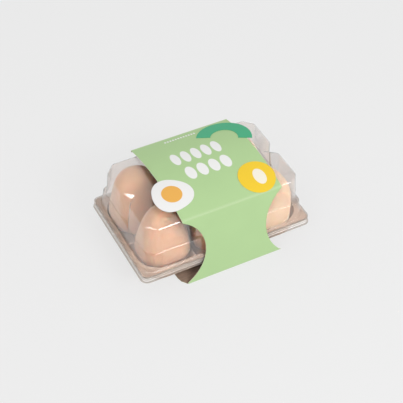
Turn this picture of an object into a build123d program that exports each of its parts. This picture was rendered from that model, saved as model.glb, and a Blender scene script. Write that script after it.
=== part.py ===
"""Six-cell egg carton: moulded-pulp tray, clear snap-on lid, card sleeve, labels and six rolled socks.

Millimetres. X runs along the long side, Y from front to back, Z up.
The origin is the centre of the footprint, on the surface that the sleeve stands on.
"""

import os
from math import cos, radians, sin, sqrt, tan

from build123d import *

# ---- driving sizes ----------------------------------------------------------------------
# material thicknesses
card = 0.5
film = 0.5
pulp = 1.6
label_film = 0.25

# clearances
slip = 0.3  # tray above the sleeve's floor, lid flange above tray flange
skirt_gap = 0.4  # tray flange inside the lid's skirt
seat_gap = 0.3  # egg above its cell floor
egg_play = 0.5  # between neighbouring eggs
label_gap = 0.05  # under each label

# lid rim
rim_length = 152.0
rim_width = 99.6
rim_height = 20.5  # top of the rim above the table
rim_drop = 6.5  # height of the rim's skirt
rim_lip = 0.8  # small outward lip at the skirt's lower edge
rim_corner = 5.0
flange_width = 3.4  # flat flange between the skirt and the lid's wall

# lid body
lower_height = 15.2  # from the rim up to the ledge
lower_draft = 10.0  # degrees
lower_corner = 8.0
upper_height = 25.2  # from the ledge up to the flat top
upper_draft = 2.6
ledge_step = 0.4
pocket_chamfer = 8.1  # at the flat top
pocket_chamfer_low = 7.5  # at the ledge
top_edge = 2.0  # bevel round the flat top

# grooves between the pockets: half width and depth at the flat top and at the ledge
side_groove_x = 25.0
side_groove_top = (9.0, 5.5)
side_groove_ledge = (6.3, 4.0)
end_groove_top = (8.2, 5.6)
end_groove_ledge = (7.3, 3.3)
groove_dip = 4.0  # how far a groove's corner sinks below the flat top
groove_reach = 12.0  # how far the dip runs in from the wall
groove_past = 0.3  # share by which a cut runs past the wall

# tray
tray_draft = 8.0
tray_corner = 19.0
tray_floor_round = 8.0
tray_land = 1.2  # flange inside the lid's wall line
rib_height = 6.0
rib_width = 9.0
rib_crest = 1.6
rib_hollow_crest = 0.2
rib_solid_end = 12.0  # the hollow stops this far from the rib's ends
rib_merge = 0.1  # the rib's foot sinks into the floor by this much

# eggs
egg_side_room = 14.0  # the rim's length or width that the cells do not use
egg_headroom = 1.4  # under the closed lid
egg_bluntness = 0.8  # 0 is an ellipsoid, larger puts the widest place lower
egg_points = 9

# sleeve
sleeve_left = -39.4
sleeve_right = 48.4
floor_margin = 3.8  # the floor panel reaches this far past the rim, front and back
front_crease = (6.9, 1.0)  # distance inside the rim, and height above the lid's top
back_crease = (1.3, -0.7)
crown = 6.6  # rise of the bowed top panel above the line between its creases
floor_tongue = 4.1  # the floor panel runs this much further left
floor_recess = 7.0  # and stops this much short at the right
tongue_corner = (7.0, 11.9)
left_bite = (33.4, 14.8, 31.8)  # radius, centre outside the edge, centre below the crease
right_bite = (40.8, 25.8, 33.0)

# labels on the top panel
blob_centre = (-35.6, -17.6)
blob_radius = 16.2
blob_wobble = (0.9, 0.5)
blob_points = 16
arch_centre = (32.6, 23.2)
arch_outer = 22.8
arch_inner = 11.4
arch_turn = -30.4
round_centre = (34.3, -27.6)
round_radius = 15.2

os.makedirs("parts", exist_ok=True)

# ---- sizes that follow --------------------------------------------------------------------
skirt_length = rim_length - 2 * rim_lip
skirt_width = rim_width - 2 * rim_lip
foot_length = skirt_length - 2 * flange_width
foot_width = skirt_width - 2 * flange_width
ledge_height = rim_height + lower_height
lid_height = ledge_height + upper_height
lower_lean = lower_height * tan(radians(lower_draft))
upper_lean = upper_height * tan(radians(upper_draft))
ledge_x = foot_length / 2 - lower_lean - ledge_step
ledge_y = foot_width / 2 - lower_lean - ledge_step
top_x = ledge_x - upper_lean
top_y = ledge_y - upper_lean

tray_bottom = card + slip
tray_top = rim_height - film - slip
cell_floor = tray_bottom + pulp
egg_bottom = cell_floor + seat_gap
egg_pitch_x = (rim_length - egg_side_room) / 3
egg_radius = min((rim_width - egg_side_room) / 4, (egg_pitch_x - egg_play) / 2)
egg_pitch_y = 2 * egg_radius + egg_play
egg_height = lid_height - film - egg_headroom - egg_bottom
sleeve_half_floor = rim_width / 2 + floor_margin


def octagon(half_x, half_y, chamfer, height):
    """Corner points of a rectangle with cut corners, at one height."""
    points = []
    for side_x, side_y in ((1, 1), (-1, 1), (-1, -1), (1, -1)):
        points.append((side_x * half_x, side_y * (half_y - chamfer), height))
        points.append((side_x * (half_x - chamfer), side_y * half_y, height))
    return points


def groove(wall_top, wall_ledge, top, ledge, along, turn, inset=0.0, drop=0.0):
    """The two wedges that one V groove takes out of the pockets' wall.

    The groove is laid out facing +X and then turned. inset and drop move it for the
    inner surface. Its mouth is carried a little past the wall so that the cut is clean.
    """
    past = groove_past
    up = lid_height + past - drop
    low = ledge_height - past - drop
    crest = lid_height - drop
    half_top, deep_top = top
    half_ledge, deep_ledge = ledge
    out_top = wall_top + past * deep_top - inset
    out_ledge = wall_ledge + past * deep_ledge - inset
    wide_top = half_top * (1 + past)
    wide_ledge = half_ledge * (1 + past)
    keel_top = wall_top - deep_top - inset
    keel_ledge = wall_ledge - deep_ledge - inset
    trench = [
        (out_top, wide_top, up),
        (out_top, -wide_top, up),
        (keel_top, 0, up),
        (out_ledge, wide_ledge, low),
        (out_ledge, -wide_ledge, low),
        (keel_ledge, 0, low),
    ]
    dip = [
        (wall_top - groove_reach - inset, 0, crest),
        (wall_top - inset, half_top, crest),
        (wall_top - inset, -half_top, crest),
        (wall_top - inset, half_top, up),
        (wall_top - inset, -half_top, up),
        (keel_top, 0, crest - groove_dip),
        (wall_top - groove_reach - inset, 0, up),
    ]
    turned = []
    for wedge in (trench, dip):
        turned.append([swing((x, y + along, z), turn) for x, y, z in wedge])
    return turned


def swing(point, turn):
    """A point turned about Z."""
    x, y, z = point
    c, s = cos(radians(turn)), sin(radians(turn))
    return (x * c - y * s, x * s + y * c, z)


def grooves(inset=0.0, drop=0.0):
    """Wedges of all six grooves: one in each end, two in each long side."""
    wedges = []
    for turn in (0, 180):
        wedges += groove(
            top_x, ledge_x, end_groove_top, end_groove_ledge, 0, turn, inset, drop
        )
    for turn in (90, 270):
        for along in (-side_groove_x, side_groove_x):
            wedges += groove(
                top_y, ledge_y, side_groove_top, side_groove_ledge, along, turn, inset, drop
            )
    return wedges


# ---- lid ------------------------------------------------------------------------------------
# corners cut at 45 degrees grow slower than the wall when it is set in
cut_share = 2 - sqrt(2)
cut_inset = film * cut_share
slope_inset = film * 1.25  # the film measured level through a groove's slanting wall

with BuildPart() as pockets:
    ConvexPolyhedron(
        octagon(ledge_x, ledge_y, pocket_chamfer_low, ledge_height - film)
        + octagon(top_x, top_y, pocket_chamfer, lid_height - top_edge)
        + octagon(
            top_x - top_edge, top_y - top_edge, pocket_chamfer - cut_share * top_edge, lid_height
        )
    )
    for wedge in grooves():
        ConvexPolyhedron(wedge, mode=Mode.SUBTRACT)

with BuildPart() as pocket_hollow:
    inner_top = lid_height - film
    ConvexPolyhedron(
        octagon(
            ledge_x - film, ledge_y - film, pocket_chamfer_low - cut_inset, ledge_height - 3 * film
        )
        + octagon(
            top_x - film, top_y - film, pocket_chamfer - cut_inset, inner_top - top_edge
        )
        + octagon(
            top_x - film - top_edge,
            top_y - film - top_edge,
            pocket_chamfer - cut_inset - cut_share * top_edge,
            inner_top,
        )
    )
    for wedge in grooves(slope_inset, film):
        ConvexPolyhedron(wedge, mode=Mode.SUBTRACT)

with BuildPart() as lower_body:
    with BuildSketch(Plane.XY.offset(rim_height)):
        RectangleRounded(foot_length, foot_width, lower_corner)
    extrude(amount=lower_height, taper=lower_draft)

with BuildPart() as lower_hollow:
    with BuildSketch(Plane.XY.offset(rim_height - film)):
        RectangleRounded(foot_length - 2 * film, foot_width - 2 * film, lower_corner - film)
    extrude(amount=lower_height, taper=lower_draft)

with BuildPart() as lid:
    # flange and skirt
    with BuildSketch(Plane.XY.offset(rim_height - rim_drop)):
        RectangleRounded(skirt_length, skirt_width, rim_corner)
    extrude(amount=rim_drop)
    with BuildSketch(Plane.XY.offset(rim_height - rim_drop)):
        RectangleRounded(skirt_length - 2 * film, skirt_width - 2 * film, rim_corner - film)
    extrude(amount=rim_drop - film, mode=Mode.SUBTRACT)
    with BuildSketch(Plane.XY.offset(rim_height - rim_drop)):
        RectangleRounded(rim_length, rim_width, rim_corner + rim_lip)
        RectangleRounded(skirt_length, skirt_width, rim_corner, mode=Mode.SUBTRACT)
    extrude(amount=film)
    add(lower_body.part)
    add(pockets.part)
    add(lower_hollow.part, mode=Mode.SUBTRACT)
    add(pocket_hollow.part, mode=Mode.SUBTRACT)

lid.part.label = "lid"
export_step(lid.part, "parts/lid.step")

# ---- tray -----------------------------------------------------------------------------------
tub_length = foot_length - 2 * tray_land
tub_width = foot_width - 2 * tray_land
tray_depth = tray_top - tray_bottom

with BuildPart() as tub:
    with BuildSketch(Plane.XY.offset(tray_top)):
        RectangleRounded(tub_length + 2 * pulp, tub_width + 2 * pulp, tray_corner + pulp)
    extrude(amount=-tray_depth, taper=tray_draft)
    fillet(tub.faces().sort_by(Axis.Z)[0].edges(), tray_floor_round + pulp)

with BuildPart() as tub_hollow:
    with BuildSketch(Plane.XY.offset(tray_top)):
        RectangleRounded(tub_length, tub_width, tray_corner)
    extrude(amount=-(tray_depth - pulp), taper=tray_draft)
    fillet(tub_hollow.faces().sort_by(Axis.Z)[0].edges(), tray_floor_round)


def rib(length, at, along_x, height, foot, crest, bottom):
    """A low ridge with sloping sides on the tray's floor, as corner points."""
    points = []
    for end in (-length / 2, length / 2):
        for half, z in ((foot / 2, bottom), (crest / 2, bottom + height)):
            for side in (-half, half):
                points.append((end, at + side, z) if along_x else (at + side, end, z))
    return points


rib_lines = [(2 * ledge_x, 0, True)]
rib_lines += [(2 * ledge_y, at, False) for at in (-egg_pitch_x / 2, egg_pitch_x / 2)]

with BuildPart() as ridges:
    for length, at, along_x in rib_lines:
        ConvexPolyhedron(
            rib(length, at, along_x, rib_height, rib_width, rib_crest, cell_floor - rib_merge)
        )
    add(tub.part, mode=Mode.INTERSECT)

with BuildPart() as base_tray:
    flange_length = skirt_length - 2 * film - 2 * skirt_gap
    flange_breadth = skirt_width - 2 * film - 2 * skirt_gap
    with BuildSketch(Plane.XY.offset(tray_top)):
        RectangleRounded(flange_length, flange_breadth, rim_corner - film - skirt_gap)
    extrude(amount=-pulp)
    add(tub.part)
    add(tub_hollow.part, mode=Mode.SUBTRACT)
    add(ridges.part)
    # the ridges are hollow below, as pulp is one even thickness
    for length, at, along_x in rib_lines:
        ConvexPolyhedron(
            rib(
                length - 2 * rib_solid_end,
                at,
                along_x,
                rib_height,
                rib_width - 2 * pulp,
                rib_hollow_crest,
                tray_bottom - rib_merge,
            ),
            mode=Mode.SUBTRACT,
        )

base_tray.part.label = "base_tray"
export_step(base_tray.part, "parts/base_tray.step")


# ---- eggs -----------------------------------------------------------------------------------
def egg_width(u):
    """Half width of the egg at u, from -1 at its blunt foot to 1 at its tip."""
    widest = (sqrt(1 - egg_bluntness**2) - 1) / egg_bluntness
    full = sqrt((1 - widest**2) / (1 + egg_bluntness * widest))
    return egg_radius * sqrt((1 - u**2) / (1 + egg_bluntness * u)) / full


egg_profile = []
for step in range(egg_points):
    u = -cos(radians(180 * step / (egg_points - 1)))
    width = 0 if step in (0, egg_points - 1) else egg_width(u)
    egg_profile.append((width, egg_bottom + egg_height * (1 + u) / 2))

cells = {}
for row, side_y in (("front", -1), ("back", 1)):
    for column, place in (("left", -1), ("middle", 0), ("right", 1)):
        cells[f"sock_egg_{row}_{column}"] = (place * egg_pitch_x, side_y * egg_pitch_y / 2)

for name, (at_x, at_y) in cells.items():
    egg_plane = Plane(origin=(at_x, at_y, 0), x_dir=(1, 0, 0), z_dir=(0, -1, 0))
    with BuildPart() as egg:
        with BuildSketch(egg_plane):
            with BuildLine():
                Spline(egg_profile, tangents=((1, 0), (-1, 0)))
                Line(egg_profile[-1], egg_profile[0])
            make_face()
        revolve(axis=Axis((at_x, at_y, 0), (0, 0, 1)))
    egg.part.label = name
    export_step(egg.part, f"parts/{name}.step")

# ---- sleeve ---------------------------------------------------------------------------------
front_y, back_y = front_crease[0] - rim_width / 2, rim_width / 2 - back_crease[0]
front_z = lid_height + front_crease[1]
back_z = lid_height + back_crease[1]
crown_y = (front_y + back_y) / 2
crown_z = (front_z + back_z) / 2 + crown


def bite_plane(crease_y, crease_z, foot_y):
    """A plane on a side panel, with its origin on the upper crease and local y upwards."""
    run_y, run_z = foot_y - crease_y, -crease_z
    length = sqrt(run_y**2 + run_z**2)
    side = 1 if foot_y > 0 else -1
    normal = (0, -side * run_z / length, side * run_y / length)
    return Plane(origin=(0, crease_y, crease_z), x_dir=(-side, 0, 0), z_dir=normal)


panels = (
    bite_plane(front_y, front_z, -sleeve_half_floor),
    bite_plane(back_y, back_z, sleeve_half_floor),
)

with BuildPart() as sleeve:
    with BuildSketch(Plane.YZ.offset(sleeve_left - floor_tongue)):
        with BuildLine():
            ThreePointArc((front_y, front_z), (crown_y, crown_z), (back_y, back_z))
            Line((back_y, back_z), (sleeve_half_floor, 0))
            Line((sleeve_half_floor, 0), (-sleeve_half_floor, 0))
            Line((-sleeve_half_floor, 0), (front_y, front_z))
        outline = make_face()
        offset(outline, amount=-card, kind=Kind.INTERSECTION, mode=Mode.SUBTRACT)
    extrude(amount=sleeve_right - sleeve_left + floor_tongue)
    # only the floor panel keeps its tongue
    with BuildSketch(Plane.XY.offset(card)):
        with Locations((sleeve_left - floor_tongue, 0)):
            Rectangle(2 * floor_tongue, 3 * sleeve_half_floor)
    extrude(amount=2 * lid_height, mode=Mode.SUBTRACT)
    # round bites at both ends of the front and back panels, which run on over the lower fold
    for panel, side in zip(panels, (1, -1)):
        for edge, out, (radius, away, below) in (
            (sleeve_left, -1, left_bite),
            (sleeve_right, 1, right_bite),
        ):
            bite_x = edge + out * away
            past_fold = sqrt(panel.origin.Z**2 + (sleeve_half_floor - abs(panel.origin.Y)) ** 2) - below
            with BuildSketch(panel):
                with Locations((side * bite_x, -below)):
                    Circle(radius)
            extrude(amount=-card, mode=Mode.SUBTRACT)
            with BuildSketch():
                with Locations((bite_x, -side * (sleeve_half_floor + past_fold))):
                    Circle(radius)
            extrude(amount=card, mode=Mode.SUBTRACT)
    # the floor panel stops short at the right, by what the next blank's tongue takes
    with BuildSketch():
        with Locations((sleeve_right, 0)):
            Rectangle(2 * floor_recess, 2 * (sleeve_half_floor - 2 * card))
    extrude(amount=card, mode=Mode.SUBTRACT)
    # the tongue's front corner is rounded off
    with BuildSketch():
        tongue_left = sleeve_left - floor_tongue
        corner_x, corner_y = tongue_corner
        round_share = 1 - sqrt(0.5)
        with BuildLine():
            Line(
                (tongue_left - 1, -sleeve_half_floor - 1),
                (tongue_left + corner_x, -sleeve_half_floor - 1),
            )
            Line(
                (tongue_left + corner_x, -sleeve_half_floor - 1),
                (tongue_left + corner_x, -sleeve_half_floor),
            )
            ThreePointArc(
                (tongue_left + corner_x, -sleeve_half_floor),
                (
                    tongue_left + round_share * corner_x,
                    -sleeve_half_floor + round_share * corner_y,
                ),
                (tongue_left, -sleeve_half_floor + corner_y),
            )
            Line(
                (tongue_left, -sleeve_half_floor + corner_y),
                (tongue_left - 1, -sleeve_half_floor + corner_y),
            )
            Line(
                (tongue_left - 1, -sleeve_half_floor + corner_y),
                (tongue_left - 1, -sleeve_half_floor - 1),
            )
        make_face()
    extrude(amount=card, mode=Mode.SUBTRACT)

sleeve.part.label = "sleeve"
export_step(sleeve.part, "parts/sleeve.step")

# ---- labels ---------------------------------------------------------------------------------
low_skin = label_gap
high_skin = label_gap + label_film
with BuildPart() as label_skin:
    with BuildSketch(Plane.YZ.offset(-rim_length)):
        with BuildLine():
            ThreePointArc(
                (front_y, front_z + low_skin),
                (crown_y, crown_z + low_skin),
                (back_y, back_z + low_skin),
            )
            Line((back_y, back_z + low_skin), (back_y, back_z + high_skin))
            ThreePointArc(
                (back_y, back_z + high_skin),
                (crown_y, crown_z + high_skin),
                (front_y, front_z + high_skin),
            )
            Line((front_y, front_z + high_skin), (front_y, front_z + low_skin))
        make_face()
    extrude(amount=2 * rim_length)

label_plane = Plane.XY.offset(lid_height - crown)
label_reach = 3 * crown

blob_outline = []
for step in range(blob_points):
    angle = 360 * step / blob_points
    spread = blob_wobble[0] * cos(radians(3 * angle + 40)) + blob_wobble[1] * cos(radians(2 * angle))
    reach = blob_radius + spread
    blob_outline.append(
        (blob_centre[0] + reach * cos(radians(angle)), blob_centre[1] + reach * sin(radians(angle)))
    )

with BuildPart() as blob_label:
    with BuildSketch(label_plane):
        with BuildLine():
            Spline(blob_outline, periodic=True)
        make_face()
    extrude(amount=label_reach)
    add(label_skin.part, mode=Mode.INTERSECT)
blob_label.part.label = "blob_label"
export_step(blob_label.part, "parts/blob_label.step")

with BuildPart() as arch_label:
    with BuildSketch(label_plane):
        with Locations(Location((*arch_centre, 0), (0, 0, arch_turn))):
            Circle(arch_outer)
            Circle(arch_inner, mode=Mode.SUBTRACT)
            with Locations((0, -arch_outer)):
                Rectangle(4 * arch_outer, 2 * arch_outer, mode=Mode.SUBTRACT)
    extrude(amount=label_reach)
    add(label_skin.part, mode=Mode.INTERSECT)
arch_label.part.label = "arch_label"
export_step(arch_label.part, "parts/arch_label.step")

with BuildPart() as round_label:
    with BuildSketch(label_plane):
        with Locations(round_centre):
            Circle(round_radius)
    extrude(amount=label_reach)
    add(label_skin.part, mode=Mode.INTERSECT)
round_label.part.label = "round_label"
export_step(round_label.part, "parts/round_label.step")
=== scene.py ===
"""Looks of a six-cell egg carton.

Clear lid, pulp tray, card sleeve with its labels, and six rolled socks.
"""

from math import atan2, cos, exp, hypot, radians, sin, sqrt, tau

import bmesh
import bpy
from mathutils import Matrix, Vector


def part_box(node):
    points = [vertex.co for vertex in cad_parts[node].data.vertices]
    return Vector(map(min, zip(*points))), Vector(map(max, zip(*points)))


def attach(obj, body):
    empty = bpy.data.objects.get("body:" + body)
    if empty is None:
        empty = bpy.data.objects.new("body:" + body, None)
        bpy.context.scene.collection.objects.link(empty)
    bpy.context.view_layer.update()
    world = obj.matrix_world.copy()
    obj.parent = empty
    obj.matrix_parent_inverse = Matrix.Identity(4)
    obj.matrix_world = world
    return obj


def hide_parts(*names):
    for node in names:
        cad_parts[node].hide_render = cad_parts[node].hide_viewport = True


bl_info = {
    "name": "Egg carton with rolled socks",
    "version": (1, 0, 0),
    "blender": (4, 5, 0),
    "location": "View3D > Sidebar > Carton",
    "description": "Builds the lid, tray, sleeve, labels and socks of a six-cell egg carton",
    "category": "Object",
}

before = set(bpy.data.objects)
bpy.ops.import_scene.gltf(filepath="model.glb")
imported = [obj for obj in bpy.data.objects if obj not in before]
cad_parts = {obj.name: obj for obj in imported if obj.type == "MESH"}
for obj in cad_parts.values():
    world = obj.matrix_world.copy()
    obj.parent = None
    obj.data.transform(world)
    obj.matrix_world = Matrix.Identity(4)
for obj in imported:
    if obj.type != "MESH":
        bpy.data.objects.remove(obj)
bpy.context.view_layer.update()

MM = 0.001
LID_LOW, LID_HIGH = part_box("lid")
TRAY_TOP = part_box("base_tray")[1][2]
SLEEVE_LOW, SLEEVE_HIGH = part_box("sleeve")
ROWS = ("front", "back")
COLUMNS = ("left", "middle", "right")


# ---- sizes and colours that a user may change ------------------------------------------------
def length(name, text, value):
    """A size in metres."""
    return bpy.props.FloatProperty(
        name=name, description=text, default=value, min=0, precision=5, unit="LENGTH"
    )


def colour(name, text, value):
    """A colour, linear."""
    return bpy.props.FloatVectorProperty(
        name=name, description=text, default=value, size=3, min=0, max=1, subtype="COLOR"
    )


def strength(name, text, value):
    """A light's strength."""
    return bpy.props.FloatProperty(name=name, description=text, default=value, min=0)


class LidSettings(bpy.types.PropertyGroup):
    film: length("Film", "Thickness of the clear film", 0.3 * MM)
    top_round: length("Top rounding", "Rounding of the edges round the flat top", 3.0 * MM)
    ridge_round: length("Ridge rounding", "Rounding of the pockets' upright edges", 1.8 * MM)
    ledge_round: length("Ledge rounding", "Rounding of the edge of the ledge", 1.1 * MM)
    rib_depth: length("Rib depth", "Depth of the two steps round the skirt", 0.45 * MM)
    tint: colour("Tint", "Colour of the clear film", (0.94, 0.924, 0.914))
    skirt: colour("Skirt tint", "Colour of the stepped film round the rim", (0.88, 0.85, 0.82))
    # painted shade: the skirt is drawn darker along level lines in this colour, standing in for its
    # fine ridges
    line: colour("Skirt lines", "Colour of the lines along the steps", (0.50, 0.46, 0.42))


class TraySettings(bpy.types.PropertyGroup):
    pulp: colour("Pulp", "Main colour of the moulded pulp", (0.44, 0.32, 0.245))
    fibre: colour("Fibres", "Colour of the pale fibres in the pulp", (0.62, 0.50, 0.41))
    # painted light: the pulp down in the cells is drawn in this paler colour where it faces up,
    # lifting the shade there
    cells_painted_light: colour("Cells", "Colour of the pulp down in the cells", (0.86, 0.68, 0.57))


class SleeveSettings(bpy.types.PropertyGroup):
    card: length("Card", "Thickness of the card", 0.38 * MM)
    seam: length("Seam", "Width of the glued overlap under the tray", 13 * MM)
    print_colour: colour("Print", "Printed colour of the outside", (0.34, 0.495, 0.235))
    kraft: colour("Kraft", "Bare card on the inside", (0.245, 0.17, 0.125))
    edge: colour("Cut edge", "Cut edge of the card", (0.66, 0.68, 0.50))
    oval: colour("Ovals", "Plain printed ovals on the top", (0.68, 0.68, 0.67))


class LabelSettings(bpy.types.PropertyGroup):
    white: colour("White label", "Colour of the rounded white label", (0.67, 0.665, 0.655))
    yolk: colour("Disc", "Disc on the white label", (0.66, 0.34, 0.06))
    teal: colour("Half ring", "Colour of the half ring label", (0.035, 0.335, 0.165))
    yellow: colour("Round label", "Colour of the round label", (0.70, 0.47, 0.012))
    cream: colour("Oval on it", "Plain oval on the round label", (0.70, 0.66, 0.55))


class SockSettings(bpy.types.PropertyGroup):
    knit: colour("Knit", "Main colour of the knit", (0.64, 0.38, 0.23))
    pale: colour("Pale knit", "Colour of the knit at the right end", (0.67, 0.475, 0.305))
    # painted shade: the knit's colour is multiplied by this in the grooves between the stitch
    # columns
    groove: colour("Knit grooves", "How dark the grooves are", (0.74, 0.60, 0.52))
    gather: length("Gathers", "Depth of the gathers at the foot of each sock", 1.0 * MM)
    pleats: bpy.props.IntProperty(
        name="Pleats", description="How many gathers go round", default=15, min=3
    )


class StageSettings(bpy.types.PropertyGroup):
    floor: colour("Floor", "Colour that the floor shows", (0.831, 0.831, 0.831))
    room: strength("Room light", "Strength of the even light", 0.80)
    key: strength("Key softbox", "Power of the softbox on the right, watts", 7.6)
    fill: strength("Fill softbox", "Power of the softbox on the left, watts", 2.6)


SETTINGS = {
    "carton_lid": LidSettings,
    "carton_tray": TraySettings,
    "carton_sleeve": SleeveSettings,
    "carton_labels": LabelSettings,
    "carton_socks": SockSettings,
    "carton_stage": StageSettings,
}


# ---- finishes --------------------------------------------------------------------------------
class Finish:
    """A material with its main shader, and short ways to add and join nodes."""

    def __init__(self, name, base, roughness):
        self.material = bpy.data.materials.new(name)
        self.material.use_nodes = True
        self.tree = self.material.node_tree
        self.shader = self.tree.nodes["Principled BSDF"]
        self.output = self.tree.nodes["Material Output"]
        self.set("Base Color", (*base, 1))
        self.set("Roughness", roughness)

    def set(self, socket, value):
        self.shader.inputs[socket].default_value = value

    def add(self, kind, **values):
        node = self.tree.nodes.new(kind)
        for name, value in values.items():
            setattr(node, name, value)
        return node

    def join(self, source, target):
        self.tree.links.new(source, target)

    def place(self, kind="Object"):
        """Coordinates of the surface."""
        return self.add("ShaderNodeTexCoord").outputs[kind]

    def split(self, vector):
        """The X, Y and Z of a vector."""
        node = self.add("ShaderNodeSeparateXYZ")
        self.join(vector, node.inputs[0])
        return node.outputs

    def math(self, operation, a, b=None):
        node = self.add("ShaderNodeMath", operation=operation)
        for socket, value in zip(node.inputs, (a, b)):
            if value is None:
                continue
            if isinstance(value, (int, float)):
                socket.default_value = value
            else:
                self.join(value, socket)
        return node.outputs[0]

    def noise(self, where, scale, detail=3.0, roughness=0.5):
        node = self.add("ShaderNodeTexNoise")
        self.join(where, node.inputs["Vector"])
        node.inputs["Scale"].default_value = scale
        node.inputs["Detail"].default_value = detail
        node.inputs["Roughness"].default_value = roughness
        return node.outputs["Fac"]

    def stretch(self, where, scale):
        """The coordinates scaled unevenly."""
        node = self.add("ShaderNodeMapping")
        self.join(where, node.inputs["Vector"])
        node.inputs["Scale"].default_value = scale
        return node.outputs[0]

    def ramp(self, value, low, high):
        """0 at low and 1 at high, smoothly."""
        node = self.add("ShaderNodeMapRange", interpolation_type="SMOOTHSTEP")
        self.join(value, node.inputs["Value"])
        node.inputs["From Min"].default_value = low
        node.inputs["From Max"].default_value = high
        return node.outputs["Result"]

    def mix(self, share, a, b):
        """Colour a where share is 0 and b where it is 1."""
        node = self.add("ShaderNodeMix", data_type="RGBA")
        self.join(share, node.inputs["Factor"])
        for socket, value in ((node.inputs[6], a), (node.inputs[7], b)):
            if isinstance(value, tuple):
                socket.default_value = (*value, 1)
            else:
                self.join(value, socket)
        return node.outputs[2]

    def bump(self, height, distance, strength=1.0):
        node = self.add("ShaderNodeBump")
        self.join(height, node.inputs["Height"])
        node.inputs["Distance"].default_value = distance
        node.inputs["Strength"].default_value = strength
        self.join(node.outputs[0], self.shader.inputs["Normal"])

    def paper_grain(self, where, scale, spread, roughness, depth):
        """A fine grain, which varies the roughness by spread and stands up by depth."""
        grain = self.noise(where, scale, 3.0, 0.6)
        uneven = self.math("ADD", self.math("MULTIPLY", grain, spread), roughness)
        self.join(uneven, self.shader.inputs["Roughness"])
        self.bump(grain, depth, 0.5)


def shade(base, share):
    """The colour times share."""
    return tuple(min(1.0, part * share) for part in base)


# the film bends light less than solid plastic would, and its coat gives back the gloss
FILM_IOR = 1.12
FILM_COAT_IOR = 1.7
FILM_COAT_ROUGHNESS = 0.2


def film_finish(name, tint, clearness, roughness, coat, lines=None):
    """Thin film, which lets the lamps' light through to what is inside.

    lines gives the pitch and the colour of darker level lines, painted shade that stands in for the
    film's fine ridges where it has them.
    """
    film = Finish(name, tint, roughness)
    if lines:
        pitch, line = lines
        # painted shade: darker level lines on the film stand in for its fine ridges
        height = film.split(film.place())[2]
        wave = film.math("SINE", film.math("MULTIPLY", height, tau / pitch))
        tone = film.mix(film.ramp(wave, -0.3, 0.5), line, tint)
        film.join(tone, film.shader.inputs["Base Color"])
    film.set("Transmission Weight", clearness)
    film.set("IOR", FILM_IOR)
    film.set("Coat Weight", coat)
    film.set("Coat Roughness", FILM_COAT_ROUGHNESS)
    film.set("Coat IOR", FILM_COAT_IOR)
    ripple = film.noise(film.place(), 55.0, 2.0)
    film.bump(ripple, 0.25 * MM, 0.35)
    through = film.add("ShaderNodeBsdfTransparent")
    through.inputs["Color"].default_value = (*shade(tint, 0.98), 1)
    choose = film.add("ShaderNodeMixShader")
    film.join(film.add("ShaderNodeLightPath").outputs["Is Shadow Ray"], choose.inputs[0])
    film.join(film.shader.outputs[0], choose.inputs[1])
    film.join(through.outputs[0], choose.inputs[2])
    film.join(choose.outputs[0], film.output.inputs["Surface"])
    return film.material


def pulp_finish():
    """Moulded pulp: matte, mottled, with pale fibres, and painted light that makes it paler where
    it faces up in the cells.
    """
    sizes = bpy.context.scene.carton_tray
    main = tuple(sizes.pulp)
    pulp = Finish("moulded pulp", main, 0.93)
    where = pulp.place()
    cloud = pulp.noise(where, 90.0, 4.0, 0.6)
    fibres = pulp.noise(pulp.stretch(where, (1.0, 0.25, 1.0)), 1400.0, 2.0, 0.6)
    base = pulp.mix(pulp.ramp(cloud, 0.3, 0.72), shade(main, 0.86), shade(main, 1.18))
    base = pulp.mix(pulp.ramp(fibres, 0.56, 0.74), base, tuple(sizes.fibre))
    # painted light: below the tray's top, faces that look up are drawn paler, lifting the shade
    # down in the cells
    down = pulp.ramp(pulp.split(where)[2], TRAY_TOP - 0.5 * MM, TRAY_TOP - 4 * MM)
    faced = pulp.split(pulp.add("ShaderNodeNewGeometry").outputs["Normal"])[2]
    inside = pulp.math("MULTIPLY", down, pulp.ramp(faced, 0.0, 0.1))
    base = pulp.mix(inside, base, tuple(sizes.cells_painted_light))
    pulp.join(base, pulp.shader.inputs["Base Color"])
    grain = pulp.math("ADD", pulp.noise(where, 900.0, 4.0, 0.65), fibres)
    pulp.bump(grain, 0.35 * MM, 0.7)
    return pulp.material


def ellipse(finish, x, y, centre, half_width, half_height):
    """0 at an ellipse's centre, 1 on its edge."""
    across = finish.math("DIVIDE", finish.math("SUBTRACT", x, centre[0]), half_width)
    along = finish.math("DIVIDE", finish.math("SUBTRACT", y, centre[1]), half_height)
    square = finish.math(
        "ADD", finish.math("MULTIPLY", across, across), finish.math("MULTIPLY", along, along)
    )
    return finish.math("SQRT", square)


# rows of printed ovals, in millimetres: start, pitch, count, middle in Y, half width, half height
OVAL_ROWS = (
    (-19.8, 9.1, 5, 16.5, 3.6, 7.4),
    (-16.5, 10.4, 4, -2.8, 4.2, 7.2),
    (-12.5, 2.4, 12, 42.8, 0.8, 1.1),
)
# the paler green that the card is drawn towards along its folds
PALE_FOLD_TONE = (0.52, 0.62, 0.40)


def oval_row(finish, x, y, row):
    """1 inside any of a row of upright ovals, whose row is given in millimetres."""
    start, pitch, count, centre_y, half_width, half_height = row
    start, pitch, centre_y = start * MM, pitch * MM, centre_y * MM
    step = finish.math("DIVIDE", finish.math("SUBTRACT", x, start), pitch)
    index = finish.math("MINIMUM", finish.math("MAXIMUM", finish.math("FLOOR", step), 0), count - 1)
    local = finish.math(
        "MULTIPLY", finish.math("SUBTRACT", finish.math("SUBTRACT", step, index), 0.5), pitch
    )
    radius = ellipse(finish, local, y, (0, centre_y), half_width * MM, half_height * MM)
    return finish.ramp(radius, 1.03, 0.97)


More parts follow.
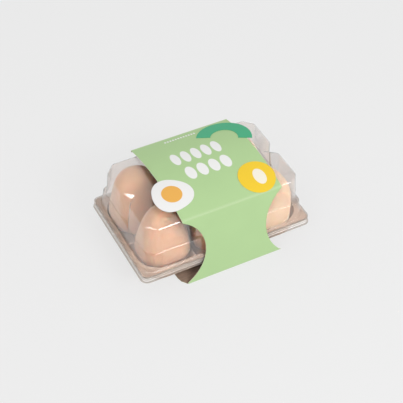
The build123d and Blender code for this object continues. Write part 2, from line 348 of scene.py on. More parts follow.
def printed_card_finish():
    """The card's outside: one printed colour, plain ovals on top, and folds drawn paler."""
    sizes = bpy.context.scene.carton_sleeve
    main = tuple(sizes.print_colour)
    card = Finish("printed card", main, 0.52)
    where = card.place()
    x, y, z = card.split(where)
    base = card.mix(card.noise(where, 40.0, 3.0), shade(main, 0.96), shade(main, 1.04))
    upper, lower, tag = (oval_row(card, x, y, row) for row in OVAL_ROWS)
    ovals = card.math("MAXIMUM", card.math("MAXIMUM", upper, lower), tag)
    # only the top panel carries them
    ovals = card.math("MULTIPLY", ovals, card.ramp(z, 50 * MM, 52 * MM))
    base = card.mix(ovals, base, tuple(sizes.oval))
    # the card is drawn paler along the folds
    fold = card.add("ShaderNodeAttribute", attribute_name="fold").outputs["Fac"]
    base = card.mix(card.math("MULTIPLY", fold, 0.35), base, PALE_FOLD_TONE)
    card.join(base, card.shader.inputs["Base Color"])
    card.paper_grain(where, 1500.0, 0.12, 0.45, 0.03 * MM)
    return card.material


def kraft_finish(name, base, relief):
    """Bare card, with fibres running along X that stand up by relief."""
    kraft = Finish(name, base, 0.9)
    where = kraft.place()
    fibres = kraft.noise(kraft.stretch(where, (0.2, 1.0, 1.0)), 900.0, 3.0, 0.6)
    tone = kraft.mix(kraft.ramp(fibres, 0.3, 0.7), shade(base, 0.85), shade(base, 1.15))
    kraft.join(tone, kraft.shader.inputs["Base Color"])
    kraft.bump(fibres, relief, 0.6)
    return kraft.material


def label_finish(name, base):
    """Smooth printed paper with a faint grain, and its tone before anything is printed on it."""
    paper = Finish(name, base, 0.42)
    where = paper.place()
    tone = paper.mix(paper.noise(where, 60.0, 3.0), shade(base, 0.97), shade(base, 1.03))
    paper.paper_grain(where, 1800.0, 0.1, 0.37, 0.02 * MM)
    return paper, tone


def disc_label_finish(name, base, disc, centre, half_width, half_height):
    """Printed paper with one plain disc or oval."""
    paper, tone = label_finish(name, base)
    x, y, _ = paper.split(paper.place())
    radius = ellipse(paper, x, y, centre, half_width, half_height)
    inside = paper.ramp(radius, 1.02, 0.98)
    paper.join(paper.mix(inside, tone, disc), paper.shader.inputs["Base Color"])
    return paper.material


STITCH_COLUMNS = 132.0
STITCH_ROWS = 150.0


def knit_finish():
    """Fine knit: columns of small stitches that follow the sock, painted shade in the grooves
    between them, and a soft sheen.
    """
    sizes = bpy.context.scene.carton_socks
    knit = Finish("peach knit", tuple(sizes.knit), 0.88)
    knit.set("Subsurface Weight", 0.6)
    knit.set("Subsurface Radius", (1.0, 0.3, 0.16))
    knit.set("Subsurface Scale", 9 * MM)
    knit.set("Sheen Weight", 0.35)
    knit.set("Sheen Roughness", 0.45)
    knit.set("Specular IOR Level", 0.25)
    around, up, _ = knit.split(knit.place("UV"))
    column = knit.math("FRACT", knit.math("MULTIPLY", around, STITCH_COLUMNS))
    middle = knit.math("ABSOLUTE", knit.math("SUBTRACT", column, 0.5))
    slant = knit.math("MULTIPLY", middle, 1.2)
    row = knit.math("ADD", knit.math("MULTIPLY", up, STITCH_ROWS), slant)
    stitch = knit.math("ABSOLUTE", knit.math("SUBTRACT", knit.math("FRACT", row), 0.5))
    height = knit.math(
        "SUBTRACT", 1.0, knit.math("ADD", knit.math("MULTIPLY", middle, 1.5), stitch)
    )
    where = knit.place()
    fuzz = knit.noise(where, 1600.0, 2.0, 0.6)
    cloud = knit.noise(where, 70.0, 3.0)
    x = knit.split(where)[0]
    tone = knit.mix(knit.ramp(x, 5 * MM, 30 * MM), tuple(sizes.knit), tuple(sizes.pale))
    # painted shade: the knit is drawn darker in the grooves between the stitch columns
    deep = knit.add("ShaderNodeMix", data_type="RGBA", blend_type="MULTIPLY")
    deep.inputs["Factor"].default_value = 1.0
    knit.join(tone, deep.inputs[6])
    deep.inputs[7].default_value = (*sizes.groove, 1)
    base = knit.mix(knit.ramp(middle, 0.25, 0.5), tone, deep.outputs[2])
    base = knit.mix(knit.ramp(cloud, 0.3, 0.75), base, tone)
    knit.join(base, knit.shader.inputs["Base Color"])
    knit.bump(knit.math("ADD", height, knit.math("MULTIPLY", fuzz, 0.5)), 0.14 * MM, 0.8)
    return knit.material


# ---- modelling helpers -----------------------------------------------------------------------
def clear_selection():
    """Nothing selected, in object mode."""
    if bpy.context.object and bpy.context.object.mode != "OBJECT":
        bpy.ops.object.mode_set(mode="OBJECT")
    bpy.ops.object.select_all(action="DESELECT")


def name_piece(piece, name):
    piece.name = name
    piece.data.name = name
    return piece


def select_only(piece):
    clear_selection()
    piece.select_set(True)
    bpy.context.view_layer.objects.active = piece


def apply_modifiers(piece):
    """Makes every modifier part of the mesh."""
    select_only(piece)
    for modifier in list(piece.modifiers):
        bpy.ops.object.modifier_apply(modifier=modifier.name)


def settle(piece):
    """Leaves the piece's object at the origin, with its place in its mesh."""
    select_only(piece)
    bpy.ops.object.transform_apply(location=True, rotation=True, scale=True)


def give_finish(piece, *finishes):
    piece.data.materials.clear()
    for finish in finishes:
        piece.data.materials.append(finish)


def rounded_outline(size_x, size_y, radius, height, steps=8):
    """Corner points of a rounded rectangle at one height, in metres."""
    points = []
    for turn, (side_x, side_y) in enumerate(((1, 1), (-1, 1), (-1, -1), (1, -1))):
        for step in range(steps + 1):
            angle = radians(90 * (turn + step / steps))
            points.append(
                Vector((
                    side_x * (size_x / 2 - radius) + radius * cos(angle),
                    side_y * (size_y / 2 - radius) + radius * sin(angle),
                    height,
                ))
            )
    return points


def start_ring(points):
    """A ring of edges: a primitive circle with its corners set at points."""
    bpy.ops.mesh.primitive_circle_add(vertices=len(points), radius=0.05)
    ring = bpy.context.object
    bpy.ops.object.mode_set(mode="EDIT")
    bpy.ops.mesh.select_all(action="SELECT")
    form = bmesh.from_edit_mesh(ring.data)
    order = form.verts.layers.int.new("place")
    form.verts.ensure_lookup_table()
    for index, point in enumerate(points):
        form.verts[index][order] = index
        form.verts[index].co = point
    bmesh.update_edit_mesh(ring.data)
    return ring


def carry_ring(ring, points):
    """Extrudes the ring's selected edge loop and sets the new corners at points."""
    bpy.ops.mesh.extrude_region()
    form = bmesh.from_edit_mesh(ring.data)
    order = form.verts.layers.int["place"]
    for corner in form.verts:
        if corner.select:
            corner.co = points[corner[order]]
    bmesh.update_edit_mesh(ring.data)


# ---- lid -------------------------------------------------------------------------------------
# the lid's own measures, in millimetres, from its drawing
RIM_DROP = 6.5
RIM_LIP = 0.8
FLANGE = 3.4
LOWER_HEIGHT = 15.2
LOWER_LEAN = 2.68
LEDGE_STEP = 0.4
UPPER_LEAN = 1.144
POCKET_CUT_TOP = 8.1
POCKET_CUT_LEDGE = 7.5
SIDE_GROOVE_X = 25.0
SIDE_GROOVE = ((9.0, 5.5), (6.3, 4.0))
END_GROOVE = ((8.2, 5.6), (7.3, 3.3))
GROOVE_DIP = 4.0
GROOVE_REACH = 12.0
SKIRT_STEPS = ((1.5, 2.4), (3.6, 4.6))
SKIRT_LINE_PITCH = 1.9
SKIRT_CORNER = 5.0
LIP_CORNER = 5.8
LEDGE_CORNER = 5.3
SOFT_STEP = 0.35
# the flange from the lid's wall outwards: size past the wall's foot, corner radius, height drop
FLANGE_INNER = ((0.0, 8.0, 0.0), (1.6, 8.8, 0.0), (2.2, 8.8, SOFT_STEP))
# and on to the skirt: size short of the skirt, corner radius, height drop
FLANGE_OUTER = ((1.6, 5.4, SOFT_STEP), (1.0, 5.2, 0.0))
# the lid's levels and half sizes (along X, along Y) that follow from its measures
RIM_Z = LID_LOW[2] / MM + RIM_DROP
LEDGE_Z = RIM_Z + LOWER_HEIGHT
TOP_Z = LID_HIGH[2] / MM
FOOT_HALF = tuple(LID_HIGH[axis] / MM - RIM_LIP - FLANGE for axis in (0, 1))
LEDGE_HALF = tuple(size - LOWER_LEAN - LEDGE_STEP for size in FOOT_HALF)
FLAT_HALF = tuple(size - UPPER_LEAN for size in LEDGE_HALF)
# the same levels in metres, for the lid itself
RIM_LEVEL = LID_LOW[2] + RIM_DROP * MM
LEDGE_LEVEL = RIM_LEVEL + LOWER_HEIGHT * MM
TOP_LEVEL = LID_HIGH[2]
# how the lid's straight sides are divided: sides longer than this, counts along X and along Y
LONG_SIDE = 4.0
DENSE_X = 60
DENSE_Y = 36
LEVEL = 1e-6


def pocket_outlines():
    """The pockets' outline at the flat top and at the ledge, as matched lists of points.

    Each of six V grooves gives three points: its two mouth corners with its keel between.
    At the top the middle one is where the groove's dip runs out on the flat top.
    Also returns the keels just under the top, by the place of the middle point.
    """
    foot = [LID_HIGH[axis] - (RIM_LIP + FLANGE) * MM for axis in (0, 1)]
    ledge = [size - (LOWER_LEAN + LEDGE_STEP) * MM for size in foot]
    flat = [size - UPPER_LEAN * MM for size in ledge]
    top, low, keels = [], [], {}
    # the four walls, anticlockwise from +X:
    # outward direction, its axis, where its grooves are along the wall, their sizes
    walls = (
        ((1, 0), 0, (0,), END_GROOVE),
        ((0, 1), 1, (SIDE_GROOVE_X, -SIDE_GROOVE_X), SIDE_GROOVE),
        ((-1, 0), 0, (0,), END_GROOVE),
        ((0, -1), 1, (-SIDE_GROOVE_X, SIDE_GROOVE_X), SIDE_GROOVE),
    )
    for (out_x, out_y), axis, grooves, (at_top, at_ledge) in walls:
        out = Vector((out_x, out_y, 0))
        along = Vector((-out_y, out_x, 0))
        far_top, far_low = flat[axis], ledge[axis]
        corner_top = flat[1 - axis] - POCKET_CUT_TOP * MM
        corner_low = ledge[1 - axis] - POCKET_CUT_LEDGE * MM

        def spot(away, sideways, height):
            return out * away + along * sideways + Vector((0, 0, height))

        top.append(spot(far_top, -corner_top, TOP_LEVEL))
        low.append(spot(far_low, -corner_low, LEDGE_LEVEL))
        # along the wall's own direction, so grooves are met in order
        for groove in sorted(grooves if axis == 0 else [g * along[0] for g in grooves]):
            for side in (-1, 0, 1):
                reach, depth = (0, 0) if side else (GROOVE_REACH, at_ledge[1])
                if side == 0:
                    keel_z = TOP_LEVEL - GROOVE_DIP * MM
                    keels[len(top)] = spot(far_top - at_top[1] * MM, groove * MM, keel_z)
                across_top = (groove + side * at_top[0]) * MM
                across_low = (groove + side * at_ledge[0]) * MM
                top.append(spot(far_top - reach * MM, across_top, TOP_LEVEL))
                low.append(spot(far_low - depth * MM, across_low, LEDGE_LEVEL))
        top.append(spot(far_top, corner_top, TOP_LEVEL))
        low.append(spot(far_low, corner_low, LEDGE_LEVEL))
    return top, low, keels


def model_pockets():
    """The faceted upper part of the lid: outline, walls, grooves with their dips, flat top."""
    top, low, keels = pocket_outlines()
    pockets = start_ring(top)
    carry_ring(pockets, low)
    form = bmesh.from_edit_mesh(pockets.data)
    order = form.verts.layers.int["place"]
    # each groove's middle edge gets one more corner, its keel just under the top
    bpy.ops.mesh.select_all(action="DESELECT")
    middle = [
        edge
        for edge in form.edges
        if edge.verts[0][order] == edge.verts[1][order] and edge.verts[0][order] in keels
    ]
    bmesh.ops.subdivide_edges(form, edges=middle, cuts=1, use_only_quads=False)
    form.verts.ensure_lookup_table()
    ends = {}
    for corner in form.verts:
        ends.setdefault(corner[order], []).append(corner)
    for place, keel in keels.items():
        trio = sorted(ends[place], key=lambda corner: corner.co.z)
        trio[1].co = keel
        for neighbour in (place - 1, place + 1):
            mouth = max(ends[neighbour], key=lambda corner: corner.co.z)
            bmesh.ops.connect_verts(form, verts=[trio[1], mouth])
    # the flat top closes the upper ring
    for edge in form.edges:
        edge.select = all(abs(corner.co.z - TOP_LEVEL) < LEVEL for corner in edge.verts)
    bmesh.update_edit_mesh(pockets.data)
    bpy.ops.mesh.edge_face_add()
    bpy.ops.mesh.select_all(action="SELECT")
    bpy.ops.mesh.normals_make_consistent(inside=False)
    bpy.ops.object.mode_set(mode="OBJECT")
    weigh_lid_edges(pockets)
    round_edges(pockets, False)
    return pockets


def round_edges(piece, keep_apart):
    """Rounds the edges by their weights, and makes the rounding part of the mesh."""
    rounding = piece.modifiers.new("rounding", "BEVEL")
    rounding.limit_method = "WEIGHT"
    rounding.width = bpy.context.scene.carton_lid.top_round
    rounding.segments = 4
    rounding.use_clamp_overlap = keep_apart
    apply_modifiers(piece)
    weights = piece.data.attributes.get("bevel_weight_edge")
    if weights:
        piece.data.attributes.remove(weights)


def dense_outline(size_x, size_y, radius, height):
    """A rounded outline with extra points along its straight sides."""
    corners = rounded_outline(size_x, size_y, radius, height)
    points = []
    for index, point in enumerate(corners):
        points.append(point)
        following = corners[(index + 1) % len(corners)]
        run = (following - point).length
        if run > LONG_SIDE * MM:
            count = DENSE_X if abs(following.x - point.x) > abs(following.y - point.y) else DENSE_Y
            for step in range(1, count):
                points.append(point.lerp(following, step / count))
    return points


def model_foot():
    """The lid's lower part: ledge, sloping wall, flange, ribbed skirt and lip."""
    rib = bpy.context.scene.carton_lid.rib_depth
    low_z, rim_z = LID_LOW[2], RIM_LEVEL
    rim = [2 * LID_HIGH[axis] for axis in (0, 1)]
    skirt = [size - 2 * RIM_LIP * MM for size in rim]
    foot = [size - 2 * FLANGE * MM for size in skirt]

    def ring(outline, more, radius, height):
        """A ring round an outline, larger by more and with corners of radius, in millimetres."""
        return dense_outline(*(size + more * MM for size in outline), radius * MM, height)

    skirt_top = ring(skirt, 0, SKIRT_CORNER, rim_z)
    sunk = dense_outline(*(size - 2 * rib for size in skirt), SKIRT_CORNER * MM - rib, rim_z)
    rings = [ring(foot, -2 * LOWER_LEAN, LEDGE_CORNER, LEDGE_LEVEL)]
    rings += [ring(foot, more, radius, rim_z - drop * MM) for more, radius, drop in FLANGE_INNER]
    rings += [ring(skirt, -less, radius, rim_z - drop * MM) for less, radius, drop in FLANGE_OUTER]
    rings.append(skirt_top)
    for top, low in SKIRT_STEPS:
        for points, drop in (
            (skirt_top, top - SOFT_STEP),
            (sunk, top),
            (sunk, low),
            (skirt_top, low + SOFT_STEP),
        ):
            rings.append([point - Vector((0, 0, drop * MM)) for point in points])
    rings += [
        ring(skirt, 0, SKIRT_CORNER, low_z + SOFT_STEP * MM),
        ring(rim, 0, LIP_CORNER, low_z + SOFT_STEP * MM),
        ring(rim, 0, LIP_CORNER, low_z),
    ]
    foot = start_ring(rings[0])
    for points in rings[1:]:
        carry_ring(foot, points)
    bpy.ops.object.mode_set(mode="OBJECT")
    return foot


# edges flatter than the angle are not rounded, and dips lie further in than the corners reach
PLAIN_ANGLE = radians(7)
CORNER_REACH = 17


def weigh_lid_edges(lid, pockets_done=False):
    """Sets how much each edge of the lid is rounded, by where it lies."""
    sizes = bpy.context.scene.carton_lid
    top_z, ledge_z = TOP_LEVEL, LEDGE_LEVEL
    near = 0.05 * MM
    form = bmesh.new()
    form.from_mesh(lid.data)
    weight = form.edges.layers.float.new("bevel_weight_edge")
    for edge in form.edges:
        if len(edge.link_faces) != 2 or edge.calc_face_angle(0) < PLAIN_ANGLE:
            continue
        a, b = edge.verts[0].co, edge.verts[1].co
        low, high = min(a.z, b.z), max(a.z, b.z)
        if low > ledge_z + near and pockets_done:
            continue
        if low > top_z - near:
            inner = min(abs(a.x), abs(b.x)) < LID_HIGH[0] - CORNER_REACH * MM
            dip = abs(a.x - b.x) > near and abs(a.y - b.y) > near and inner
            round_by = sizes.ridge_round * 0.6 if dip else sizes.top_round
        elif low > ledge_z + near:
            round_by = sizes.ridge_round * 0.5
        elif high > ledge_z + near:
            round_by = 0 if pockets_done else sizes.ridge_round
        elif low > ledge_z - near:
            round_by = sizes.ledge_round if edge.is_convex else 0.6 * sizes.ledge_round
        else:
            continue
        edge[weight] = round_by / sizes.top_round
    form.to_mesh(lid.data)
    form.free()


class CARTON_OT_lid(bpy.types.Operator):
    """Models the clear lid and puts it in place of the plain one"""

    bl_idname = "carton.lid"
    bl_label = "Clear lid"

    def execute(self, context):
        sizes = context.scene.carton_lid
        clear_selection()
        pockets = model_pockets()
        clear_selection()
        foot = model_foot()
        pockets.select_set(True)
        foot.select_set(True)
        context.view_layer.objects.active = foot
        bpy.ops.object.join()
        lid = name_piece(context.object, "clear_lid")
        # the flat ring of the ledge joins the two outlines
        bpy.ops.object.mode_set(mode="EDIT")
        bpy.ops.mesh.select_all(action="DESELECT")
        form = bmesh.from_edit_mesh(lid.data)
        for edge in form.edges:
            level = all(abs(corner.co.z - LEDGE_LEVEL) < LEVEL for corner in edge.verts)
            edge.select = edge.is_boundary and level
        bmesh.update_edit_mesh(lid.data)
        bpy.ops.mesh.fill(use_beauty=True)
        bpy.ops.mesh.select_all(action="SELECT")
        bpy.ops.mesh.normals_make_consistent(inside=False)
        bpy.ops.object.mode_set(mode="OBJECT")
        weigh_lid_edges(lid, pockets_done=True)
        give_finish(
            lid,
            film_finish("clear film", tuple(sizes.tint), 0.985, 0.04, 1.0),
            film_finish(
                "stepped film",
                tuple(sizes.skirt),
                0.84,
                0.15,
                0.3,
                (SKIRT_LINE_PITCH * MM, tuple(sizes.line)),
            ),
        )
        skirt_z = RIM_LEVEL - 0.5 * MM
        round_edges(lid, True)
        for face in lid.data.polygons:
            face.material_index = int(face.center.z < skirt_z)
        wall = lid.modifiers.new("wall", "SOLIDIFY")
        wall.thickness = sizes.film
        wall.offset = -1
        wall.use_even_offset = False
        apply_modifiers(lid)
        bpy.ops.object.shade_smooth_by_angle(angle=radians(32))
        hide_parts("lid")
        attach(lid, "lid")
        return {"FINISHED"}


# ---- tray ------------------------------------------------------------------------------------
class CARTON_OT_tray(bpy.types.Operator):
    """Gives the pulp tray its finish"""

    bl_idname = "carton.tray"
    bl_label = "Pulp tray"

    def execute(self, context):
        give_node_finish("base_tray", pulp_finish())
        return {"FINISHED"}


def give_node_finish(node, finish):
    """Puts a finish on every slot of a carried-over piece."""
    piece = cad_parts[node]
    for slot in piece.material_slots:
        slot.material = finish


# ---- sleeve ----------------------------------------------------------------------------------
# the sleeve's own measures, in millimetres, from its drawing
FRONT_FOLD = (-42.9, 61.9)
BACK_FOLD = (48.5, 60.2)
CROWN = 6.6
FLOOR_TONGUE = 4.1
FLOOR_RECESS = 7.0
RECESS_MARGIN = 0.5
TONGUE_CORNER = (7.0, 11.9)
LEFT_BITE = (33.4, 14.8, 31.8)
RIGHT_BITE = (40.8, 25.8, 33.0)
PANEL_BULGE = 0.15
FOLD_ROUND = 0.7
FOLD_TUCK = 0.2
SEAM_START = 2.0
GLUE = 0.02
FLOOR_STEPS = 12
PANEL_STEPS = 40
ACROSS_STEPS = 36


def bowed_top():
    """Centre and radius of the arc that the bowed top panel follows, in millimetres."""
    front, back = Vector(FRONT_FOLD), Vector(BACK_FOLD)
    middle = (front + back) / 2 + Vector((0, CROWN))
    rise = (middle - front, back - front)
    d = 2 * (rise[0].x * rise[1].y - rise[0].y * rise[1].x)
    a, b = rise[0].length_squared, rise[1].length_squared
    shift = Vector((rise[1].y * a - rise[0].y * b, rise[0].x * b - rise[1].x * a)) / d
    return front + shift, shift.length


def sleeve_path():
    """Stations round the sleeve's outside.

    Each is y, z, panel name, distance below the upper fold and whether it is on a fold.
    """
    half = SLEEVE_HIGH[1] / MM
    centre, radius = bowed_top()
    over = SEAM_START + bpy.context.scene.carton_sleeve.seam / MM
    over_z = bpy.context.scene.carton_sleeve.card / MM + GLUE
    stations = []

    def floor(y, z=0.0, folded=0):
        stations.append((y, z, "floor", 0, folded))

    # floor, from the seam towards the back
    for step in range(FLOOR_STEPS + 1):
        floor(SEAM_START + (half - FOLD_ROUND - SEAM_START) * step / FLOOR_STEPS)
    floor(half - FOLD_TUCK, FOLD_TUCK, 1)
    # up the back panel, which bulges a little
    run = Vector((BACK_FOLD[0] - half, BACK_FOLD[1]))
    for step in range(1, PANEL_STEPS):
        share = step / PANEL_STEPS
        y = half + run.x * share + PANEL_BULGE * 4 * share * (1 - share)
        stations.append((y, run.y * share, "back", run.length * (1 - share), 0))
    # over the bowed top
    start, end = (atan2(p[1] - centre.y, p[0] - centre.x) for p in (BACK_FOLD, FRONT_FOLD))
    stations.append((*BACK_FOLD, "top", 0, 1))
    for step in range(1, PANEL_STEPS):
        angle = start + (end - start) * step / PANEL_STEPS
        y, z = centre.x + radius * cos(angle), centre.y + radius * sin(angle)
        stations.append((y, z, "top", 0, 0))
    stations.append((*FRONT_FOLD, "top", 0, 1))
    # down the front panel
    run = Vector((-half - FRONT_FOLD[0], -FRONT_FOLD[1]))
    for step in range(1, PANEL_STEPS):
        share = step / PANEL_STEPS
        y, z = FRONT_FOLD[0] + run.x * share, FRONT_FOLD[1] + run.y * share
        stations.append((y, z, "front", run.length * share, 0))
    # and along the floor to the seam
    floor(-half + FOLD_TUCK, FOLD_TUCK, 1)
    for step in range(FLOOR_STEPS + 1):
        floor(-half + FOLD_ROUND + (half - FOLD_ROUND) * step / FLOOR_STEPS)
    # the last stretch climbs over the first and lies on it
    floor(SEAM_START - 0.5)
    floor(SEAM_START + 1.0, over_z)
    floor(over, over_z)
    return stations


def bite(edge, out, shape, below):
    """Where a bitten edge lies, at a distance below the upper fold."""
    radius, away, centre = shape
    reach = radius**2 - (below - centre) ** 2
    return edge - out * max(0.0, sqrt(reach) - away) if reach > 0 else edge


def sleeve_ends(y, panel, below):
    """The sleeve's left and right edge at one station, in millimetres."""
    left, right = SLEEVE_LOW[0] / MM + FLOOR_TONGUE, SLEEVE_HIGH[0] / MM
    if panel == "floor":
        half = SLEEVE_HIGH[1] / MM
        # the bite runs on over the front fold, as if the panel were flat
        past = hypot(half - abs(FRONT_FOLD[0]), FRONT_FOLD[1]) + half - abs(y)
        bitten = bite(right, 1, RIGHT_BITE, past)
        right -= FLOOR_RECESS if abs(y) < half - RECESS_MARGIN else 0
        right = min(right, bitten)
        corner_x, corner_y = TONGUE_CORNER
        inset = max(0.0, 1 - (y - SLEEVE_LOW[1] / MM) / corner_y)
        left += corner_x * (1 - sqrt(max(0.0, 1 - inset**2))) - FLOOR_TONGUE
    elif panel != "top":
        left, right = bite(left, -1, LEFT_BITE, below), bite(right, 1, RIGHT_BITE, below)
    return left, right


class CARTON_OT_sleeve(bpy.types.Operator):
    """Folds the card sleeve round the carton and prints it"""

    bl_idname = "carton.sleeve"
    bl_label = "Card sleeve"

    def execute(self, context):
        sizes = context.scene.carton_sleeve
        stations = sleeve_path()
        clear_selection()
        bpy.ops.mesh.primitive_grid_add(
            x_subdivisions=ACROSS_STEPS, y_subdivisions=len(stations) - 1, size=1
        )
        sleeve = name_piece(context.object, "card_sleeve")
        fold = sleeve.data.attributes.new("fold", "FLOAT", "POINT")
        for index, corner in enumerate(sleeve.data.vertices):
            share_x = corner.co.x + 0.5
            y, z, panel, below, folded = stations[round((corner.co.y + 0.5) * (len(stations) - 1))]
            left, right = sleeve_ends(y, panel, below)
            corner.co = (MM * (left + (right - left) * share_x), MM * y, MM * z)
            fold.data[index].value = folded
        bpy.ops.object.mode_set(mode="EDIT")
        bpy.ops.mesh.select_all(action="SELECT")
        bpy.ops.mesh.flip_normals()
        bpy.ops.object.mode_set(mode="OBJECT")
        give_finish(
            sleeve,
            printed_card_finish(),
            kraft_finish("bare card", tuple(sizes.kraft), 0.06 * MM),
            kraft_finish("cut card", tuple(sizes.edge), 0.02 * MM),
        )
        wall = sleeve.modifiers.new("card", "SOLIDIFY")
        wall.thickness = sizes.card
        wall.offset = -1
        wall.use_even_offset = True
        wall.material_offset = 1
        wall.material_offset_rim = 2
        apply_modifiers(sleeve)
        bpy.ops.object.shade_smooth_by_angle(angle=radians(25))
        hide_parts("sleeve")
        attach(sleeve, "sleeve")
        return {"FINISHED"}


class CARTON_OT_labels(bpy.types.Operator):
    """Prints the three labels"""

    bl_idname = "carton.labels"
    bl_label = "Labels"

    def execute(self, context):
        inks = context.scene.carton_labels
        give_node_finish(
            "blob_label",
            disc_label_finish(
                "white label",
                tuple(inks.white),
                tuple(inks.yolk),
                (-35.4 * MM, -17.0 * MM),
                8.3 * MM,
                8.3 * MM,
            ),
        )
        paper, tone = label_finish("teal label", tuple(inks.teal))
        paper.join(tone, paper.shader.inputs["Base Color"])
        give_node_finish("arch_label", paper.material)
        give_node_finish(
            "round_label",
            disc_label_finish(
                "yellow label",
                tuple(inks.yellow),
                tuple(inks.cream),
                (36.5 * MM, -28.3 * MM),
                5.0 * MM,
                7.6 * MM,
            ),
        )
        return {"FINISHED"}


# ---- socks -----------------------------------------------------------------------------------
# each sock, in millimetres and shares: shift from its cell's middle, half widths,
# bluntness, fullness, squareness, phase of its dents and pleats, gathers
SOCK_SHAPES = {
    "front_left": ((1.9, 3.0), (22.1, 20.2), 0.75, 2.25, 2.4, 0.3, 0.5),
    "front_middle": ((0.3, 0.2), (21.2, 20.7), 0.6, 2.4, 2.2, 1.9, 1.0),
    "front_right": ((-0.7, -2.5), (20.6, 22.4), 0.1, 2.8, 2.4, 3.1, 1.8),
    "back_left": ((-0.1, 3.0), (23.2, 22.2), 0.42, 3.0, 2.05, 4.4, 0.6),
    "back_middle": ((0.1, 1.3), (20.7, 20.6), 0.6, 2.4, 2.2, 5.2, 1.0),
    "back_right": ((-0.2, 1.5), (21.0, 21.0), 0.4, 2.6, 2.2, 0.9, 1.2),
}
# all in millimetres: a sock's clearance inside the film, how far under the ledge the upper walls
# count, and how high and how softly the gathers fade out over the foot
PRESS_GAP = 0.75
LEDGE_BLEND = 0.6
GATHER_HEIGHT = 17
GATHER_FADE = 4.0


def sock_profile(u, bluntness, fullness):
    """Half width, as a share of the widest, from -1 at the foot to 1 at the tip."""
    return max(0.0, 1 - abs(u) ** fullness) ** (1 / fullness) / sqrt(1 + bluntness * u)


def wall_at(axis, z):
    """Distance of the lid's wall along an axis from the middle at height z."""
    if z < LEDGE_Z - LEDGE_BLEND:
        return FOOT_HALF[axis] - LOWER_LEAN * max(0.0, z - RIM_Z) / LOWER_HEIGHT
    rise = (z - LEDGE_Z) / (TOP_Z - LEDGE_Z)
    return LEDGE_HALF[axis] + (FLAT_HALF[axis] - LEDGE_HALF[axis]) * rise


def groove_at(off, z, sizes):
    """How deep a groove stands in from its wall at a distance off its keel."""
    if z <= LEDGE_Z - LEDGE_BLEND:
        return 0.0
    (top_half, top_deep), (low_half, low_deep) = sizes
    share = max(0.0, min(1.0, (z - LEDGE_Z) / (TOP_Z - LEDGE_Z)))
    half = low_half + (top_half - low_half) * share
    deep = low_deep + (top_deep - low_deep) * share
    return deep * max(0.0, 1 - abs(off) / half)


def press_in(point, film):
    """Presses a point of a sock back inside the lid's walls, grooves and cut corners."""
    x, y, z = (part / MM for part in point)
    gap = film / MM + PRESS_GAP
    wall_x, wall_y = wall_at(0, z), wall_at(1, z)
    limit_x = wall_x - gap - groove_at(y, z, END_GROOVE)
    limit_y = wall_y - gap - groove_at(abs(x) - SIDE_GROOVE_X, z, SIDE_GROOVE)
    x = max(-limit_x, min(limit_x, x))
    y = max(-limit_y, min(limit_y, y))
    past = abs(x) + abs(y) - (wall_x + wall_y - POCKET_CUT_TOP - gap * sqrt(2))
    if past > 0 and z > LEDGE_Z - LEDGE_BLEND:
        x -= past / 2 if x > 0 else -past / 2
        y -= past / 2 if y > 0 else -past / 2
    return Vector((x, y, z)) * MM


def shape_sock(sock, low, high, middle, shape, sizes, film):
    """Turns a sphere into a rolled sock: full egg shape, gathered foot, soft dents."""
    _, widths, bluntness, fullness, square, phase, gathers = shape
    widest = max(sock_profile(step / 50 - 1, bluntness, fullness) for step in range(101))
    tall = high - low
    for corner in sock.data.vertices:
        x, y, z = corner.co
        u = max(-1.0, min(1.0, z))
        angle = atan2(y, x)
        share = sock_profile(u, bluntness, fullness) / widest
        height = low + tall * (1 + u) / 2
        around = (abs(cos(angle)) ** square + abs(sin(angle)) ** square) ** (-1 / square)
        foot = 1 / (1 + exp((height - low - GATHER_HEIGHT * MM) / (GATHER_FADE * MM)))
        pleat = 0.5 + 0.5 * cos(sizes.pleats * angle + phase + 0.9 * sin(3 * angle + phase))
        uneven = 0.65 + 0.35 * sin(2 * angle + 1.7 * phase)
        tuck = sizes.gather * gathers * foot * pleat**1.5 * uneven * min(1.0, share * 3)
        dent = sin(3 * angle + phase) * sin(2.2 * u + phase) * 0.22
        dent += sin(5 * angle - 2 * phase) * sin(4 * u + 2 * phase) * 0.12
        tuck += MM * (0.3 + dent) * sqrt(max(0.0, 1 - u * u))
        reach_x = widths[0] * MM * share * around - tuck
        reach_y = widths[1] * MM * share * around - tuck
        place = middle + Vector((reach_x * cos(angle), reach_y * sin(angle), height))
        corner.co = press_in(place, film)


class CARTON_OT_socks(bpy.types.Operator):
    """Models the six rolled socks, each in its own cell"""

    bl_idname = "carton.socks"
    bl_label = "Rolled socks"

    def execute(self, context):
        sizes = context.scene.carton_socks
        film = context.scene.carton_lid.film
        knit = knit_finish()
        for row in ROWS:
            for column in COLUMNS:
                place = f"{row}_{column}"
                node = f"sock_egg_{place}"
                low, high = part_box(node)
                shape = SOCK_SHAPES[place]
                middle = Vector((low[0] + high[0], low[1] + high[1], 0)) / 2
                middle += Vector((*shape[0], 0)) * MM
                clear_selection()
                bpy.ops.mesh.primitive_uv_sphere_add(segments=160, ring_count=96, radius=1)
                sock = name_piece(context.object, f"rolled_sock_{place}")
                shape_sock(sock, low[2], high[2], middle, shape, sizes, film)
                select_only(sock)
                bpy.ops.object.shade_smooth()
                give_finish(sock, knit)
                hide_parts(node)
                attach(sock, f"egg_{place}")
        return {"FINISHED"}


# ---- stage -----------------------------------------------------------------------------------
FLOOR_SIZE = 12
FLOOR_DROP = 0.4
# the floor is mostly its own light, so that it stays even under the softboxes
FLOOR_LIT = 0.15
FLOOR_GLOW = 0.83
# each softbox: place, size
KEY_BOX = ((0.34, -0.87, 0.75), (0.60, 0.38))
FILL_BOX = ((-0.77, -0.43, 0.82), (0.35, 0.35))
CAMERA_LENS = 106.2
CAMERA_PLACE = (-0.3318, -0.5986, 0.7143)
CAMERA_AXES = (
    (0.88524, -0.46456, 0.02351),
    (0.31450, 0.63499, 0.70562),
    (-0.34273, -0.61724, 0.70820),
)


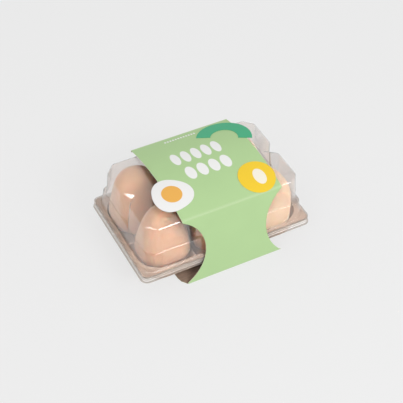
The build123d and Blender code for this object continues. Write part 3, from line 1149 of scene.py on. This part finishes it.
def add_softbox(name, place, size, power):
    """A rectangular lamp turned towards the carton."""
    bpy.ops.object.light_add(type="AREA", location=place)
    softbox = bpy.context.object
    softbox.name = name
    softbox.data.shape = "RECTANGLE"
    softbox.data.size, softbox.data.size_y = size
    softbox.data.energy = power
    softbox.rotation_euler = Vector(place).to_track_quat("Z", "Y").to_euler()


class CARTON_OT_stage(bpy.types.Operator):
    """Sets the floor, the lights and the camera"""

    bl_idname = "carton.stage"
    bl_label = "Stage"

    def execute(self, context):
        sizes = context.scene.carton_stage
        clear_selection()
        bpy.ops.mesh.primitive_plane_add(size=FLOOR_SIZE, location=(0, 0, -FLOOR_DROP * MM))
        floor = name_piece(context.object, "floor")
        settle(floor)
        pale = Finish("pale floor", shade(tuple(sizes.floor), FLOOR_LIT), 0.9)
        pale.set("Specular IOR Level", 0.0)
        pale.set("Emission Color", (*sizes.floor, 1))
        pale.set("Emission Strength", FLOOR_GLOW)
        give_finish(floor, pale.material)
        world = bpy.data.worlds.new("studio")
        context.scene.world = world
        world.use_nodes = True
        backdrop = world.node_tree.nodes["Background"]
        backdrop.inputs["Color"].default_value = (1, 1, 1, 1)
        backdrop.inputs["Strength"].default_value = sizes.room
        add_softbox("key", *KEY_BOX, sizes.key)
        add_softbox("fill", *FILL_BOX, sizes.fill)
        bpy.ops.object.camera_add(location=CAMERA_PLACE)
        camera = context.object
        camera.name = "camera"
        camera.data.lens = CAMERA_LENS
        camera.data.sensor_width = 36
        camera.data.clip_start = 0.01
        camera.rotation_euler = Matrix(CAMERA_AXES).transposed().to_euler()
        context.scene.camera = camera
        context.scene.view_settings.view_transform = "Standard"
        return {"FINISHED"}


class CARTON_PT_panel(bpy.types.Panel):
    """Sizes, colours and the steps that build the carton"""

    bl_idname = "CARTON_PT_panel"
    bl_label = "Egg carton"
    bl_space_type = "VIEW_3D"
    bl_region_type = "UI"
    bl_category = "Carton"

    def draw(self, context):
        for step, group in zip(STEPS, STEP_SETTINGS):
            box = self.layout.box()
            box.operator(step.bl_idname)
            settings = getattr(context.scene, group)
            for name in settings.__annotations__:
                box.prop(settings, name)


STEPS = (
    CARTON_OT_stage,
    CARTON_OT_tray,
    CARTON_OT_socks,
    CARTON_OT_lid,
    CARTON_OT_sleeve,
    CARTON_OT_labels,
)
STEP_SETTINGS = (
    "carton_stage",
    "carton_tray",
    "carton_socks",
    "carton_lid",
    "carton_sleeve",
    "carton_labels",
)


def register():
    for kind in (*SETTINGS.values(), *STEPS, CARTON_PT_panel):
        bpy.utils.register_class(kind)
    for name, kind in SETTINGS.items():
        setattr(bpy.types.Scene, name, bpy.props.PointerProperty(type=kind))


def unregister():
    for name in SETTINGS:
        delattr(bpy.types.Scene, name)
    for kind in (CARTON_PT_panel, *reversed(STEPS), *reversed(SETTINGS.values())):
        bpy.utils.unregister_class(kind)


def main():
    register()
    bpy.ops.carton.stage()
    bpy.ops.carton.tray()
    bpy.ops.carton.socks()
    bpy.ops.carton.lid()
    bpy.ops.carton.sleeve()
    bpy.ops.carton.labels()
    clear_selection()
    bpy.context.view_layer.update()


if __name__ == "__main__":
    main()
